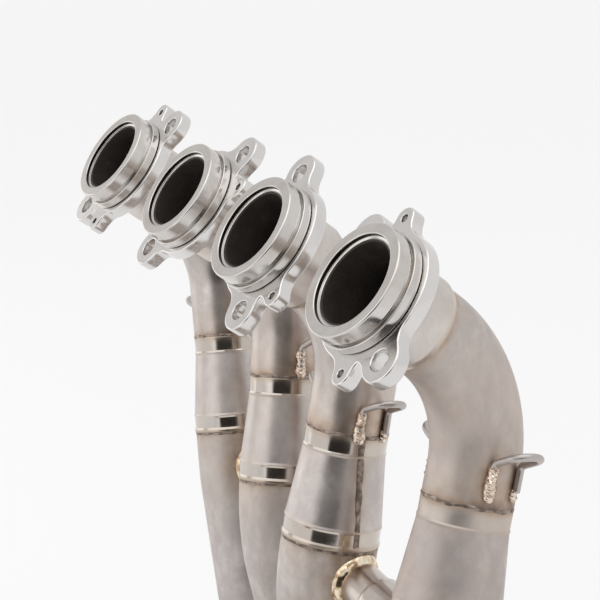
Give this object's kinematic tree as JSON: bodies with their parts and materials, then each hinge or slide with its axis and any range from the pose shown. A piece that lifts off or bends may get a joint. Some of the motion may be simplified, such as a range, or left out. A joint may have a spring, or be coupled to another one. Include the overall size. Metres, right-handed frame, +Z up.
{
  "type": "racing exhaust header",
  "caption": "Stainless race exhaust header: stepped primaries with turned inlet rings and loose flanges, linked in pairs, merging through sprung slip joints into the outlet.",
  "frame": {"origin": "middle of the port row, on the plane of the four inlet mouths", "axes": "+X along the row from cylinder 1 to cylinder 4, +Z up, gas leaves the outlet towards -Y; the ports look 37 degrees above -Y"},
  "size_m": [0.3356, 0.6538, 0.4179],
  "materials": {
    "turned_ring": "bright turned stainless steel with fine lathe marks",
    "flange_plate": "bright polished stainless plate with rounded edges",
    "upper_tube": "satin stainless tube, straw and brown heat tint near the welds",
    "rolled_step": "satin stainless cone between two bright bands",
    "lower_tube": "satin stainless tube, warm grey with brown heat tint",
    "hook_wire": "bent stainless wire with a straw tint at its welds",
    "crossover": "satin stainless tube, golden at its weld rings",
    "merge_sheet": "formed stainless sheet with a satin skin",
    "secondary_tube": "satin stainless tube",
    "slip_socket": "expanded stainless sleeve, brushed round",
    "spring_wire": "plain stainless spring wire",
    "turned_fitting": "machined stainless steel",
    "washer": "soft copper crush washer"
  },
  "bodies": {
    "collector": {"slip_socket_12": "slip_socket", "slip_socket_34": "slip_socket", "socket_hooks": "hook_wire", "slip_springs_12": "spring_wire", "slip_springs_34": "spring_wire", "final_collector": "merge_sheet", "outlet_pipe": "secondary_tube", "outlet_hooks": "hook_wire", "sensor_boss": "turned_fitting", "plug_washer": "washer", "sensor_plug": "turned_fitting", "hanger_tab": "turned_fitting"},
    "pair_12": {"inlet_ring_1": "turned_ring", "primary_bend_1": "upper_tube", "step_cone_1": "rolled_step", "lower_tube_1": "lower_tube", "spring_hooks_1": "hook_wire", "inlet_ring_2": "turned_ring", "primary_bend_2": "upper_tube", "step_cone_2": "rolled_step", "lower_tube_2": "lower_tube", "spring_hooks_2": "hook_wire", "crossover_tube_12": "crossover", "crossover_sleeve_12": "crossover", "merge_12": "merge_sheet", "secondary_12": "secondary_tube", "slip_hooks_12": "hook_wire"},
    "pair_34": {"inlet_ring_3": "turned_ring", "primary_bend_3": "upper_tube", "step_cone_3": "rolled_step", "lower_tube_3": "lower_tube", "spring_hooks_3": "hook_wire", "inlet_ring_4": "turned_ring", "primary_bend_4": "upper_tube", "step_cone_4": "rolled_step", "lower_tube_4": "lower_tube", "spring_hooks_4": "hook_wire", "crossover_tube_34": "crossover", "crossover_sleeve_34": "crossover", "merge_34": "merge_sheet", "secondary_34": "secondary_tube", "slip_hooks_34": "hook_wire"},
    "flange_1": {"port_flange_1": "flange_plate"},
    "flange_2": {"port_flange_2": "flange_plate"},
    "flange_3": {"port_flange_3": "flange_plate"},
    "flange_4": {"port_flange_4": "flange_plate"}
  },
  "joints": [
    {"name": "slip_12", "type": "slide", "parent": "collector", "child": "pair_12", "axis": [0, 1, 0], "range_m": [0, 0.02], "stiffness_N_per_m": 8000, "springref_m": -0.01, "deforming": ["slip_springs_12"]},
    {"name": "slip_34", "type": "slide", "parent": "collector", "child": "pair_34", "axis": [0, 1, 0], "range_m": [0, 0.02], "stiffness_N_per_m": 8000, "springref_m": -0.01, "deforming": ["slip_springs_34"]},
    {"name": "flange_turn_1", "type": "hinge", "parent": "pair_12", "child": "flange_1", "pos_m": [-0.134, 0, 0], "axis": [0, -0.7986, 0.6018], "continuous": true},
    {"name": "flange_turn_2", "type": "hinge", "parent": "pair_12", "child": "flange_2", "pos_m": [-0.042, 0, 0], "axis": [0, -0.7986, 0.6018], "range_deg": [-37, 92]},
    {"name": "flange_turn_3", "type": "hinge", "parent": "pair_34", "child": "flange_3", "pos_m": [0.042, 0, 0], "axis": [0, -0.7986, 0.6018], "range_deg": [-82.5, 46.5]},
    {"name": "flange_turn_4", "type": "hinge", "parent": "pair_34", "child": "flange_4", "pos_m": [0.134, 0, 0], "axis": [0, -0.7986, 0.6018], "continuous": true}
  ]
}
